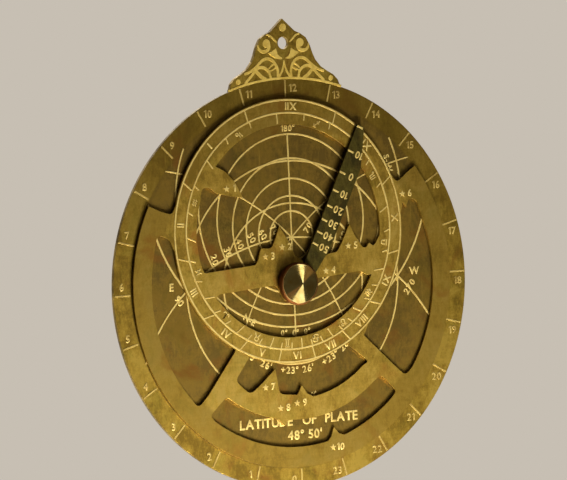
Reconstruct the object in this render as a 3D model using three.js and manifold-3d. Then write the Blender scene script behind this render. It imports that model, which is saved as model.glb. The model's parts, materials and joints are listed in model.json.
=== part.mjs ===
// A planispheric astrolabe in etched sheet brass, in millimetres, +Z up.
// The origin is the centre of the hanging hole in the throne. The front faces -Y.
// Flat pieces are drawn as seen from the front: x to the right, y up, in their own drawing plane, and
// laid in place by `seenFromFront`, so a drawing's (x, y) becomes world (X, Z) about the disc's centre.
import * as THREE from 'three';
import { mergeVertices } from 'three/addons/utils/BufferGeometryUtils.js';
import Module from 'manifold-3d';

const wasm = await Module();
wasm.setup();

// ---- driving dimensions ----
const LIMB_RADIUS = 80;
const HANG_HEIGHT = 94; // from the disc's centre up to the hanging hole
const HANG_HOLE_RADIUS = 2.4;
const PLATE_THICK = 1.5;
const THRONE_BACK_STEP = 0.3; // the throne stands this much proud at the back
const GAP = 0.3; // running gap between pieces that touch

const RETE_THICK = 1.0;
const RETE_TURN = 4.5; // degrees, counter-clockwise as seen from the front
const RETE_RADIUS = 72;
const RETE_RING_INNER = 64;
const ECLIPTIC_OFFSET = 20.7; // ecliptic ring's centre above the pole
const ECLIPTIC_OUTER = 51.8;
const ECLIPTIC_INNER = 41.6;

const RULE_THICK = 0.8;
const RULE_TURN = -27; // degrees, counter-clockwise positive
const RULE_LENGTH = 68.4;
const RULE_WIDTH = 8.5;
const RULE_HUB_RADIUS = 7.4;

const PIN_RADIUS = 2.0;
const PIN_BORE = PIN_RADIUS + GAP;
const PIN_REACH = 3.2; // how far the pin's tip stands into the knob
const BUSH_RADIUS = 3.7;
const BUSH_BORE = BUSH_RADIUS + GAP;
const PIN_HEAD_RADIUS = 6.5;
const PIN_HEAD_THICK = 1.8;
const PIN_SLOT_WIDTH = 1.1;
const PIN_SLOT_DEPTH = 0.8;
const WASHER_THICK = 0.5;

const KNOB_RADIUS = 8.35;
const KNOB_RIM = 2.3; // height of the knob's straight side
const KNOB_CONE = 2.3; // rise of the conical top above the rim
const KNOB_RECESS_RADIUS = 6.9;
const KNOB_RECESS_DEPTH = 1.8;

const ALIDADE_THICK = 1.2;
const ALIDADE_LENGTH = 77; // from the centre to either point
const ALIDADE_TURN = 24; // degrees above the horizontal
const ALIDADE_HALF_WIDTH = 6;
const ALIDADE_TAPER_START = 66; // from the centre
const ALIDADE_HUB_RADIUS = 10.5;
const VANE_STATION = 58; // where each sight vane stands, from the centre
const VANE_THICK = 1.0;
const VANE_WIDTH = 10;
const VANE_FOOT = 7; // length of the foot along the alidade
const VANE_HEIGHT = 8;
const VANE_NOTCH_WIDTH = 1.8;
const VANE_NOTCH_DEPTH = 1.4;
const SIGHT_HOLE_RADIUS = 0.8;
const RIVET_RADIUS = 0.8;
const RIVET_SPREAD = 3.0; // either side of the alidade's centre line
const RIVET_FROM_VANE = 4.2;

const DISC_STEPS = 180;

// ---- levels along Y: the front is negative ----
const PLATE_FRONT = -PLATE_THICK / 2;
const PLATE_BACK = PLATE_THICK / 2;
const RETE_BACK = PLATE_FRONT - GAP;
const RETE_FRONT = RETE_BACK - RETE_THICK;
const RULE_BACK = RETE_FRONT - GAP;
const RULE_FRONT = RULE_BACK - RULE_THICK;
const KNOB_BACK = RULE_FRONT - GAP;
const KNOB_WASHER_FRONT = KNOB_BACK - WASHER_THICK;
const PIN_TIP = KNOB_BACK - PIN_REACH;
const ALIDADE_WASHER_BACK = PLATE_BACK + GAP + WASHER_THICK;
const ALIDADE_FRONT = ALIDADE_WASHER_BACK + GAP;
const ALIDADE_BACK = ALIDADE_FRONT + ALIDADE_THICK;
const HEAD_WASHER_FRONT = ALIDADE_BACK + GAP;
const PIN_HEAD_FRONT = HEAD_WASHER_FRONT + WASHER_THICK + GAP;

// ---- materials ----
const brass = (color, roughness) => new THREE.MeshStandardMaterial({ color, roughness, metalness: 1 });
const PLATE_BRASS = () => brass(0x77602a, 0.42);
const RETE_BRASS = () => brass(0x9c8038, 0.36);
const RULE_BRASS = () => brass(0x5f5528, 0.4);
const POLISHED_BRASS = () => brass(0xc9a24a, 0.12);
const WASHER_BRASS = () => brass(0xa98c45, 0.35);

// ---- drawing helpers ----
const radians = (degrees) => (degrees * Math.PI) / 180;
const point = (x, y) => new THREE.Vector2(x, y);
const polar = (radius, degrees, cx = 0, cy = 0) =>
  point(cx + radius * Math.cos(radians(degrees)), cy + radius * Math.sin(radians(degrees)));

// Points along an arc from one angle to another, ends included.
function arc(cx, cy, radius, from, to, stepDegrees = 2.5) {
  const count = Math.max(2, Math.ceil(Math.abs(to - from) / stepDegrees));
  const step = (to - from) / count;
  return Array.from({ length: count + 1 }, (_, i) => polar(radius, from + step * i, cx, cy));
}

// A whole circle, its last point left open as an outline's is.
const circle = (cx, cy, radius, stepDegrees = 10) => arc(cx, cy, radius, 0, 360, stepDegrees).slice(0, -1);

// Rounds a corner of an outline: a smooth curve between the two points where an arc of the given radius
// would touch the sides, taking at most CORNER_SHARE of either side.
const CORNER_SHARE = 0.48;

function corner(before, at, after, radius, steps = 5) {
  const a = before.clone().sub(at).normalize();
  const b = after.clone().sub(at).normalize();
  const half = Math.acos(THREE.MathUtils.clamp(a.dot(b), -1, 1)) / 2;
  const shorterSide = Math.min(before.distanceTo(at), after.distanceTo(at));
  const reach = Math.min(radius / Math.tan(half), shorterSide * CORNER_SHARE);
  const start = at.clone().addScaledVector(a, reach);
  const end = at.clone().addScaledVector(b, reach);
  const curve = new THREE.QuadraticBezierCurve(start, at, end);
  return curve.getPoints(steps);
}

// Turns [x, y, radius] corners into points; the radius may be left out for a sharp corner.
function rounded(list, previous, next) {
  const at = (i) => {
    if (i < 0) return previous;
    if (i >= list.length) return next;
    return point(list[i][0], list[i][1]);
  };
  return list.flatMap(([x, y, radius], i) =>
    radius ? corner(at(i - 1), point(x, y), at(i + 1), radius) : [point(x, y)]);
}

const ecliptic = (from, to, radius, step) => arc(0, ECLIPTIC_OFFSET, radius, from, to, step);

// ---- solids ----
// A flat piece of one outline and its holes, cut from sheet of the given thickness.
// It runs from z = 0 at its back to z = thick at its front face.
function sheet(outline, holes, thick) {
  const shape = new THREE.Shape(outline);
  shape.holes = holes.map((hole) => new THREE.Path(hole));
  return new THREE.ExtrudeGeometry(shape, { depth: thick, bevelEnabled: false, steps: 1 });
}

// A turned piece: its profile is (radius, distance), and the distance runs out along the drawing's z.
function turned(profile, segments = 48) {
  const geometry = new THREE.LatheGeometry(profile.map(([r, d]) => point(r, d)), segments);
  return geometry.rotateX(Math.PI / 2);
}

function toSolid(geometry) {
  const bare = geometry.clone();
  bare.deleteAttribute('normal');
  bare.deleteAttribute('uv');
  const merged = mergeVertices(bare.index ? bare.toNonIndexed() : bare, 1e-4);
  return new wasm.Manifold(new wasm.Mesh({
    numProp: 3,
    vertProperties: new Float32Array(merged.attributes.position.array),
    triVerts: new Uint32Array(merged.index.array),
  }));
}

function toGeometry(solid) {
  const mesh = solid.getMesh();
  const geometry = new THREE.BufferGeometry();
  geometry.setAttribute('position', new THREE.BufferAttribute(new Float32Array(mesh.vertProperties), 3));
  geometry.setIndex(new THREE.BufferAttribute(new Uint32Array(mesh.triVerts), 1));
  geometry.computeVertexNormals();
  return geometry;
}

const joined = (...pieces) => toGeometry(pieces.map(toSolid).reduce((sum, next) => sum.add(next)));
const cut = (piece, ...tools) =>
  toGeometry(tools.map(toSolid).reduce((rest, tool) => rest.subtract(tool), toSolid(piece)));

// ---- the assembly ----
const astrolabe = new THREE.Group();

// Every piece turns about, or is drawn about, the disc's centre.
const disc = new THREE.Group();
disc.position.set(0, 0, -HANG_HEIGHT);
astrolabe.add(disc);

// A group whose drawing plane is upright: drawing z comes forward, towards -Y.
function seenFromFront(parent, turn = 0) {
  const group = new THREE.Group();
  group.rotation.set(Math.PI / 2, 0, 0);
  const spun = new THREE.Group();
  spun.rotation.z = radians(turn);
  group.add(spun);
  parent.add(group);
  return spun;
}

// Adds a mesh to a drawing group, its back at the given level along Y.
function place(group, name, geometry, level, material) {
  const mesh = new THREE.Mesh(geometry, material);
  mesh.name = name;
  mesh.position.z = -level;
  group.add(mesh);
  return mesh;
}

// ---- base plate: limb, plate face and throne in one sheet ----
// Half of the throne's outline from its apex down to its foot on the limb, right-hand side.
const THRONE_FOOT = [25.4, 75.8];
const THRONE_HALF = [
  [0, 103.5], [3.0, 100.8], [5.4, 98.6, 1.5], [7.8, 97.6, 2], [10.4, 95.9, 2], [12.1, 92.8, 2],
  [13.2, 89.6, 3], [14.4, 87.0, 2], [16.7, 84.3, 3], [19.6, 82.4, 2], [22.3, 80.9, 2], [24.3, 78.8, 2],
  THRONE_FOOT,
];
const THRONE_ROOT = 72; // the throne's sheet runs down inside the limb to this radius
const CROWN_EDGE = LIMB_RADIUS + 1.2; // the step at the back starts at this radius
const CROWN_OVERLAP = 0.5; // how deep the step's sheet runs into the plate

function throneOutline() {
  const right = rounded(THRONE_HALF);
  const left = right.slice(1).reverse().map((p) => point(-p.x, p.y));
  const [footX, footY] = THRONE_FOOT;
  const root = Math.atan2(footY, footX) / radians(1);
  const bottom = arc(0, 0, THRONE_ROOT, 180 - root, root, 3);
  return [...left, ...right, ...bottom.reverse()].reverse();
}

function basePlate() {
  const limb = sheet(circle(0, 0, LIMB_RADIUS, 360 / DISC_STEPS), [circle(0, 0, BUSH_BORE)], PLATE_THICK);
  const throne = sheet(throneOutline(), [], PLATE_THICK);
  const crown = sheet(throneCrown(), [], THRONE_BACK_STEP + CROWN_OVERLAP);
  crown.translate(0, 0, -THRONE_BACK_STEP);
  const drillLength = 4 * PLATE_THICK;
  const hole = sheet(circle(0, HANG_HEIGHT, HANG_HOLE_RADIUS), [], drillLength);
  hole.translate(0, 0, -drillLength / 2);
  return cut(joined(limb, throne, crown), hole);
}

// The part of the throne above the limb's edge, which carries the step at the back.
function throneCrown() {
  const right = rounded(THRONE_HALF).filter((p) => p.length() > CROWN_EDGE + 0.4);
  const left = right.slice(1).reverse().map((p) => point(-p.x, p.y));
  const last = right[right.length - 1];
  const from = Math.atan2(last.y, last.x) / radians(1);
  const bottom = arc(0, 0, CROWN_EDGE, from, 180 - from, 3);
  return [...left, ...right, ...bottom].reverse();
}

const plateGroup = seenFromFront(disc);
place(plateGroup, 'base_plate', basePlate(), PLATE_BACK, PLATE_BRASS());

// ---- rete: the pierced star map ----
const RETE_LEFT = 147.6; // angles at which the outer ring ends
const RETE_RIGHT = 32.4;

function reteOutline() {
  const ring = arc(0, 0, RETE_RADIUS, RETE_LEFT, 360 + RETE_RIGHT, 2);
  const rightWeb = rounded([[56.5, 36.2, 4], [51.6, 33.0, 3]], ring[ring.length - 1], point(49.2, 36.6));
  const band = ecliptic(17.9, 161.2, ECLIPTIC_OUTER, 2);
  const leftWeb = rounded([[-51.2, 33.9, 4], [-56.2, 36.0, 4]], band[band.length - 1], ring[0]);
  return [...ring, ...rightWeb, ...band, ...leftWeb];
}

// Left side opening, between the outer ring and the ecliptic ring.
function leftOpening() {
  const ring = arc(0, 0, RETE_RING_INNER, 164.5, 215.8, 2.5);
  const low = rounded([[-49.2, -41.6, 4]], ring[ring.length - 1], point(-44, -37.3));
  const strut = [point(-44, -37.3), point(-30.4, -22.6)];
  const band = ecliptic(234.8, 181, ECLIPTIC_OUTER, 2.5);
  const top = rounded([[-53.6, 24.8, 3], [-58.6, 27.4, 4]], band[band.length - 1], ring[0]);
  return [...ring, ...low, ...strut, ...band, ...top];
}

// Right side opening, with the small star pointer hanging from its top edge.
function rightOpening() {
  const band = ecliptic(360, 307.2, ECLIPTIC_OUTER, 2.5);
  const strut = [point(28.6, -24.8), point(40.4, -37.9)];
  const low = rounded([[45.8, -43.6, 4]], point(40.4, -37.9), polar(RETE_RING_INNER, 320.6));
  const ring = arc(0, 0, RETE_RING_INNER, 320.6, 376.5, 2.5);
  const top = rounded([[59.8, 25.2, 3], [56.2, 26.0, 1.5], [54.6, 22.6], [53.4, 25.4, 1]],
    ring[ring.length - 1], band[0]);
  return [...band, ...strut, ...low, ...ring, ...top].reverse();
}

// Bottom opening that frames the inscription; two star pointers stand into it.
const INSCRIPTION_ROOF = 53.3;

function inscriptionOpening() {
  const floorLeft = arc(0, 0, RETE_RING_INNER, 228.6, 276.3, 2.5);
  const lowerPointer = rounded([[8.7, -61.9, 1], [10.3, -58.5], [12.2, -61.3, 1]],
    floorLeft[floorLeft.length - 1], polar(RETE_RING_INNER, 283.2));
  const floorRight = arc(0, 0, RETE_RING_INNER, 283.2, 307.0, 2.5);
  const right = rounded([[40.9, -48.9, 2.5], [34.8, -41.6, 3]],
    floorRight[floorRight.length - 1], polar(INSCRIPTION_ROOF, 306));
  const roofRight = arc(0, 0, INSCRIPTION_ROOF, 305, 260, 2.5);
  const upperPointer = rounded([[-10.0, -52.7, 0.8], [-11.7, -54.5], [-14.3, -51.6, 0.8]],
    roofRight[roofRight.length - 1], polar(INSCRIPTION_ROOF, 253));
  const roofLeft = arc(0, 0, INSCRIPTION_ROOF, 253, 232, 2.5);
  const left = rounded([[-36.4, -39.2, 2], [-44.4, -45.4, 3]], roofLeft[roofLeft.length - 1], floorLeft[0]);
  const floor = [...floorLeft, ...lowerPointer, ...floorRight];
  const roof = [...roofRight, ...upperPointer, ...roofLeft];
  return [...floor, ...right, ...roof, ...left];
}

// Opening under the ecliptic ring, with the two pointers that rise from the band below it.
function lowerOpening() {
  const leftSide = rounded([[-31.6, -33.6, 2.5], [-25.6, -40.0, 3]], point(-24.0, -25.4), point(-20, -36.6));
  const firstPointer = [point(-20, -36.6), point(-13.3, -31.9), point(-12.9, -36)];
  const floorLeft = rounded([[-12.5, -42.0, 3], [-4.4, -43.4, 1.5], [-2.2, -39.9], [0.0, -43.6, 1]],
    point(-12.9, -36), polar(45.2, 273));
  const floorRight = arc(0, 0, 45.2, 273, 306, 3);
  const rightSide = rounded([[29.6, -35.4, 2]], floorRight[floorRight.length - 1], point(20.6, -26.9));
  const band = ecliptic(293.4, 242.4, ECLIPTIC_OUTER, 2.5);
  return [...leftSide, ...firstPointer, ...floorLeft, ...floorRight, ...rightSide, ...band];
}

// Big upper opening inside the ecliptic ring, above the crossbar, with the star pointers.
const BAR_TOP = 9.6;
const BAR_BOTTOM = 0.6;

function skyOpening() {
  const over = ecliptic(-10, 135.4, ECLIPTIC_INNER, 2.5);
  const leftRing = ecliptic(156, 192.4, ECLIPTIC_INNER, 2.5);
  const altair = [[-25.4, 47.2, 3], [-21.8, 42.6, 3], [-19.1, 36.4], [-24.6, 37.6, 4],
    [-30.4, 39.4, 4], [-33.6, 42.4, 3], [-36.9, 42.2, 2]];
  const eaglePointer = rounded(altair, over[over.length - 1], leftRing[0]);
  const deneb = [[-16.9, BAR_TOP, 1], [-15.4, 11.4, 2], [-13.6, 15.7, 1]];
  const vega = [[-9.0, 15.0, 2], [-6.6, 18.6, 2], [-4.3, 23.2], [-0.4, 15.8, 2], [1.2, 10.9, 2],
    [4.8, 8.2, 2]];
  const bearTail = [[11.8, 7.6, 2], [16.4, 9.4]];
  const arcturus = [[20.6, BAR_TOP, 2], [22.9, 12.4, 3], [27.6, 19.6], [29.2, 15.6, 2]];
  const notch = [[32.4, 9.8, 1.5], [34.2, 9.4, 1], [35.6, 11.4, 1.5], [37.6, 9.4, 1]];
  const barTop = rounded([[-39.8, BAR_TOP, 1], ...deneb, ...vega, ...bearTail, ...arcturus, ...notch],
    leftRing[leftRing.length - 1], over[0]);
  return [...over, ...eaglePointer, ...leftRing, ...barTop];
}

// Lower crescent opening inside the ecliptic ring, below the crossbar.
function crescentOpening() {
  const under = ecliptic(210.6, 328, ECLIPTIC_INNER, 2.5);
  const rightEnd = rounded([[33.6, -1.6, 2], [30.4, BAR_BOTTOM, 1.5]],
    under[under.length - 1], point(0, BAR_BOTTOM));
  const bar = rounded([[8.2, BAR_BOTTOM, 3], [5.6, -6.4, 3], [-5.6, -6.4, 3], [-8.2, BAR_BOTTOM, 3]],
    rightEnd[rightEnd.length - 1], point(-35, BAR_BOTTOM));
  return [...under, ...rightEnd, ...bar, point(-34.4, BAR_BOTTOM)];
}

function rete() {
  const openings = [leftOpening(), rightOpening(), inscriptionOpening(), lowerOpening(), skyOpening(),
    crescentOpening(), circle(0, 0, BUSH_BORE)];
  return sheet(reteOutline(), openings, RETE_THICK);
}

const reteGroup = seenFromFront(disc, RETE_TURN);
place(reteGroup, 'rete', rete(), RETE_BACK, RETE_BRASS());

// ---- rule: a single arm with its fiducial edge on the centre line ----
const RULE_TAPER_START = 53;
const RULE_TIP_WIDTH = 3.4;
const RULE_HUB_END = 38; // degrees: where the round hub runs out into the arm

function ruleOutline() {
  const edgeTop = point(0, RULE_LENGTH);
  const hub = arc(0, 0, RULE_HUB_RADIUS, 90, 360 + RULE_HUB_END, 8);
  const armRight = rounded([[7.2, 12.6, 4], [RULE_WIDTH, 18.4, 3], [RULE_WIDTH, RULE_TAPER_START, 4],
    [RULE_TIP_WIDTH, RULE_LENGTH]], hub[hub.length - 1], edgeTop);
  return [edgeTop, ...hub, ...armRight];
}

const ruleGroup = seenFromFront(disc, RULE_TURN);
const pinBore = circle(0, 0, PIN_BORE, 12);
place(ruleGroup, 'rule', sheet(ruleOutline(), [pinBore], RULE_THICK), RULE_BACK, RULE_BRASS());

// ---- the centre: pin, bush, washers, spring and knob ----
const centre = seenFromFront(disc);

function tube(inner, outer, length) {
  return turned([[inner, 0], [outer, 0], [outer, length], [inner, length], [inner, 0]]);
}

const centreBush = tube(PIN_BORE, BUSH_RADIUS, PLATE_BACK - RETE_FRONT);
place(centre, 'centre_bush', centreBush, PLATE_BACK, WASHER_BRASS());

// The pin: a slotted dome head at the back, then a plain shank to its tip inside the knob.
const PIN_CHAMFER = 0.4;

function pin() {
  const headBack = PIN_HEAD_FRONT + PIN_HEAD_THICK;
  const shank = headBack - PIN_TIP;
  const head = [[0, 0], [PIN_HEAD_RADIUS - 2.4, 0], [PIN_HEAD_RADIUS - 0.9, 0.4], [PIN_HEAD_RADIUS, 1.1],
    [PIN_HEAD_RADIUS, PIN_HEAD_THICK], [PIN_RADIUS, PIN_HEAD_THICK]];
  const tip = [[PIN_RADIUS, shank - PIN_CHAMFER], [PIN_RADIUS - PIN_CHAMFER, shank], [0, shank]];
  const body = turned([...head, ...tip]);
  const slot = new THREE.BoxGeometry(3 * PIN_HEAD_RADIUS, PIN_SLOT_WIDTH, 2 * PIN_SLOT_DEPTH);
  return cut(body, slot);
}

place(centre, 'centre_pin', pin(), PIN_HEAD_FRONT + PIN_HEAD_THICK, WASHER_BRASS());

// Three plain washers: [name, outer radius, level of its back].
const WASHERS = [
  ['alidade_washer', 7, ALIDADE_WASHER_BACK],
  ['head_washer', 6, HEAD_WASHER_FRONT + WASHER_THICK],
  ['knob_washer', 6.4, KNOB_BACK],
];
WASHERS.forEach(([name, radius, back]) => {
  place(centre, name, tube(PIN_BORE, radius, WASHER_THICK), back, WASHER_BRASS());
});

// A dished spring washer under the knob gives the rule and the rete their drag.
const SPRING_THICK = 0.3;
const SPRING_DISH = 0.35;
const SPRING_INNER = 2.7;
const SPRING_OUTER = 6.1;
const springProfile = [[SPRING_INNER, SPRING_DISH], [SPRING_OUTER, 0], [SPRING_OUTER, SPRING_THICK],
  [SPRING_INNER, SPRING_DISH + SPRING_THICK], [SPRING_INNER, SPRING_DISH]];
place(centre, 'spring_washer', turned(springProfile), KNOB_WASHER_FRONT - GAP, brass(0x8f8a80, 0.3));

// The knob: a shallow cone on a short drum, hollow underneath for the washers, with a blind bore.
const KNOB_BORE_DEPTH = 3.5;
const KNOB_CHAMFER = 0.2;
const knobProfile = [[0, KNOB_BORE_DEPTH], [PIN_BORE, KNOB_BORE_DEPTH], [PIN_BORE, KNOB_RECESS_DEPTH],
  [KNOB_RECESS_RADIUS, KNOB_RECESS_DEPTH], [KNOB_RECESS_RADIUS, 0], [KNOB_RADIUS - KNOB_CHAMFER, 0],
  [KNOB_RADIUS, KNOB_CHAMFER], [KNOB_RADIUS, KNOB_RIM - KNOB_CHAMFER], [KNOB_RADIUS - 0.25, KNOB_RIM + 0.05],
  [0, KNOB_RIM + KNOB_CONE]];
place(centre, 'knob', turned(knobProfile, 72), KNOB_BACK, POLISHED_BRASS());

// ---- alidade: the sighting bar on the back, with two vanes ----
const ALIDADE_ARM_START = 11.5; // from the centre
const ALIDADE_HUB_EDGE = 38; // degrees: where the round hub meets the arm

function alidadeOutline() {
  const arm = (side) => [point(side * ALIDADE_ARM_START, -side * ALIDADE_HALF_WIDTH),
    point(side * ALIDADE_TAPER_START, -side * ALIDADE_HALF_WIDTH), point(side * ALIDADE_LENGTH, 0),
    point(side * ALIDADE_TAPER_START, side * ALIDADE_HALF_WIDTH),
    point(side * ALIDADE_ARM_START, side * ALIDADE_HALF_WIDTH)];
  const hub = (from) =>
    arc(0, 0, ALIDADE_HUB_RADIUS, from + ALIDADE_HUB_EDGE, from + 180 - ALIDADE_HUB_EDGE, 8);
  return [...arm(1), ...hub(0), ...arm(-1), ...hub(180)];
}

const VANE_CENTRES = [VANE_STATION, -VANE_STATION];
const outward = (station) => Math.sign(station);

// Rivet places: two on each vane's foot, inboard of the vane.
const rivetPlaces = VANE_CENTRES.flatMap((station) => [-RIVET_SPREAD, RIVET_SPREAD].map((y) =>
  point(station - outward(station) * RIVET_FROM_VANE, y)));

const alidadeGroup = seenFromFront(disc, ALIDADE_TURN);
const rivetHoles = rivetPlaces.map((p) => circle(p.x, p.y, RIVET_RADIUS + GAP, 20));
const alidadeBar = sheet(alidadeOutline(), [pinBore, ...rivetHoles], ALIDADE_THICK);
place(alidadeGroup, 'alidade', alidadeBar, ALIDADE_BACK, RULE_BRASS());

// A vane: a foot flat on the alidade and an upright with a round top, a sight hole and a foresight notch.
// It is drawn with the upright's face in x-y, then turned to stand across the alidade.
function vane(side) {
  const half = VANE_WIDTH / 2;
  const crown = VANE_HEIGHT - half * 0.6;
  const notch = VANE_NOTCH_WIDTH / 2;
  const outline = [point(-half, 0), point(half, 0), point(half, crown), point(notch, VANE_HEIGHT),
    point(0, VANE_HEIGHT - VANE_NOTCH_DEPTH), point(-notch, VANE_HEIGHT), point(-half, crown)];
  const sight = circle(0, VANE_HEIGHT * 0.6, SIGHT_HOLE_RADIUS, 20);
  const upright = sheet(outline, [sight], VANE_THICK);
  upright.rotateX(Math.PI / 2).rotateZ(Math.PI / 2).rotateX(Math.PI);
  const foot = new THREE.BoxGeometry(VANE_FOOT, VANE_WIDTH, VANE_THICK);
  foot.translate(VANE_THICK - VANE_FOOT / 2, 0, -VANE_THICK / 2);
  const holes = [-RIVET_SPREAD, RIVET_SPREAD].map((y) => {
    const reach = 3 * VANE_THICK;
    const bore = RIVET_RADIUS + GAP;
    const drill = turned([[0, -reach], [bore, -reach], [bore, reach], [0, reach]], 18);
    return drill.translate(-RIVET_FROM_VANE, y, 0);
  });
  const solid = cut(joined(upright, foot), ...holes);
  return side > 0 ? solid : solid.rotateZ(Math.PI);
}

const VANE_LEVEL = ALIDADE_BACK + GAP;
VANE_CENTRES.forEach((station, i) => {
  const mesh = place(alidadeGroup, `sight_vane_${i + 1}`, vane(outward(station)), VANE_LEVEL, PLATE_BRASS());
  mesh.position.x = station;
});

// Rivets: a domed head on the foot, a shank through both sheets and a closed tail under the alidade.
const RIVET_TAIL = 0.4;
const RIVET_TAIL_RADIUS = 1.4;
const RIVET_HEAD_RADIUS = 1.8;
const RIVET_LENGTH = VANE_THICK + GAP + ALIDADE_THICK + 2 * GAP;
const rivetProfile = [[0, -1.0], [1.0, -0.8], [1.7, -0.25], [RIVET_HEAD_RADIUS, 0], [RIVET_RADIUS, 0],
  [RIVET_RADIUS, RIVET_LENGTH], [RIVET_TAIL_RADIUS, RIVET_LENGTH],
  [RIVET_TAIL_RADIUS, RIVET_LENGTH + RIVET_TAIL], [0, RIVET_LENGTH + RIVET_TAIL]];
rivetPlaces.forEach((p, i) => {
  const mesh = place(alidadeGroup, `vane_rivet_${i + 1}`, turned(rivetProfile, 20),
    VANE_LEVEL + VANE_THICK + GAP, POLISHED_BRASS());
  mesh.position.x = p.x;
  mesh.position.y = p.y;
});

export default astrolabe;
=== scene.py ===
"""Looks for the brass astrolabe: etched relief, patinated brass, a turned knob and a plain studio.

Drawings on the flat faces are in millimetres about the disc's centre, x to the right and y up,
as seen by someone facing that side of the instrument.
"""

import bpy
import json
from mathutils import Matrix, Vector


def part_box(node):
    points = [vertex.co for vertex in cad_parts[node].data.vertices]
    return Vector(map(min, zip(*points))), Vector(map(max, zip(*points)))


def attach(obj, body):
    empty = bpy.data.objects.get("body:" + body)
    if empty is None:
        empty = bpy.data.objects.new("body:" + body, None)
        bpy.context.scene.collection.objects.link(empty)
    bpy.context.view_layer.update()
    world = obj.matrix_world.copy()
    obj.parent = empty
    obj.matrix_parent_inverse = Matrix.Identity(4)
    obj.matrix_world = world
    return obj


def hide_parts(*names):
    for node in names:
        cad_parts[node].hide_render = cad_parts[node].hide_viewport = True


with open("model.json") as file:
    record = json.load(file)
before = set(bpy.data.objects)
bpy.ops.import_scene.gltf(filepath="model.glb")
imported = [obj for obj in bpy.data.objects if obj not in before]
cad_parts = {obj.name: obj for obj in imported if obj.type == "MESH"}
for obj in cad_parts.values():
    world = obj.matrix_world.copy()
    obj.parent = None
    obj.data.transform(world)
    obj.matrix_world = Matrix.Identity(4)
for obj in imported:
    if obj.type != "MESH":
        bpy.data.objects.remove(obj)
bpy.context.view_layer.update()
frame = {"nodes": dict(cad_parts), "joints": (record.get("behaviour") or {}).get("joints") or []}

import json
import math

import bmesh
import bpy
from mathutils import Matrix, Vector

MM = 0.001
NODES = frame["nodes"]
JOINTS = {joint["name"]: joint for joint in frame["joints"]}
CENTRE = Vector(JOINTS["rete_turn"]["pos_m"])

# ---- levels of the flat faces along Y, read from the frame ----
PLATE_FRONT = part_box("base_plate")[0].y
RETE_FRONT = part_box("rete")[0].y
RULE_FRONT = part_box("rule")[0].y
ALIDADE_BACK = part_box("alidade")[1].y
PLATE_BACK = -PLATE_FRONT  # the sheet is centred on Y = 0; only the throne is thicker

# ---- the instrument's own dimensions, in millimetres and degrees ----
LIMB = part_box("base_plate")[1].x / MM
KNOB_LOW, KNOB_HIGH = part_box("knob")
KNOB_RADIUS = (KNOB_HIGH.x - KNOB_LOW.x) / 2 / MM
KNOB_HEIGHT = (KNOB_HIGH.y - KNOB_LOW.y) / MM
RETE_TURN = 4.5  # how far the rete, the rule and the alidade are turned at rest
RULE_TURN = -27.0
ALIDADE_TURN = 24.0
LATITUDE = math.radians(48 + 50 / 60)
OBLIQUITY = math.radians(23.44)
EQUATOR = 48.05  # radius of the celestial equator in the projection
CAP = 72.4  # the projection is cut off at this radius
HOUR_TICK_START = 72.7
ECLIPTIC_OFFSET = 20.7  # the zodiac band's centre above the pin
BAND_OUTER = 51.2
BAND_MIDDLE = 46.2
BAND_INNER = 41.6

# ---- the raised work, in millimetres ----
LINE_WIDTH = 0.78
FINE_WIDTH = 0.64
THIN_WIDTH = 0.4
RELIEF = 0.11  # how far the raised work stands above the etched ground
ROOT = 0.04  # how far its foot reaches into the sheet
SHOULDER = 0.09  # slope of a raised strip's sides
NARROWEST_TOP = 0.4  # a thin strip keeps this share of its width as its flat top
TEXT_RISE = 0.02  # how far text stands above the lines that it crosses
MERGE_DISTANCE = 0.0005


# ======== Drawing tools ========
def polar(radius, degrees, cx=0.0, cy=0.0):
    angle = math.radians(degrees)
    return (cx + radius * math.cos(angle), cy + radius * math.sin(angle))


def arc(radius, start, end, cx=0.0, cy=0.0, step=2.0):
    """Points along an arc, ends included; angles in degrees."""
    count = max(2, math.ceil(abs(end - start) / step))
    return [polar(radius, start + (end - start) * i / count, cx, cy) for i in range(count + 1)]


def turned(point, degrees):
    angle = math.radians(degrees)
    c, s = math.cos(angle), math.sin(angle)
    return (point[0] * c - point[1] * s, point[0] * s + point[1] * c)


def smooth(points, steps=8):
    """A Catmull-Rom curve through the points."""
    if len(points) < 3:
        return list(points)
    ends = [points[0]] + list(points) + [points[-1]]
    out = []
    for a, b, c, d in zip(ends, ends[1:], ends[2:], ends[3:]):
        for i in range(steps):
            t = i / steps
            out.append(tuple(
                0.5 * ((2 * b[k]) + (c[k] - a[k]) * t + (2 * a[k] - 5 * b[k] + 4 * c[k] - d[k]) * t ** 2
                       + (3 * b[k] - a[k] - 3 * c[k] + d[k]) * t ** 3) for k in (0, 1)))
    return out + [points[-1]]


def clipped(points, keep):
    """Splits a run of points into the stretches where keep(point) holds."""
    runs, run = [], []
    for point in points:
        if keep(point):
            run.append(point)
        else:
            if len(run) > 1:
                runs.append(run)
            run = []
    if len(run) > 1:
        runs.append(run)
    return runs


# ---- letters, in units of their font size ----
GLYPHS = {}  # the letters made so far
CAP_PER_SIZE = 0.72  # a capital's height
LETTER_MIDDLE = 0.35  # the height about which a letter turns
LETTER_DEPTH = 0.5  # half the thickness of a letter's mesh, before it is fitted to the relief
LETTER_FACE = 0.51  # points above this level belong to a letter's flat top
LETTER_GAP = 0.09
SPACE = 0.32
LETTER_SHOULDER = 0.035  # the rounding of a letter's edge, in millimetres


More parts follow.
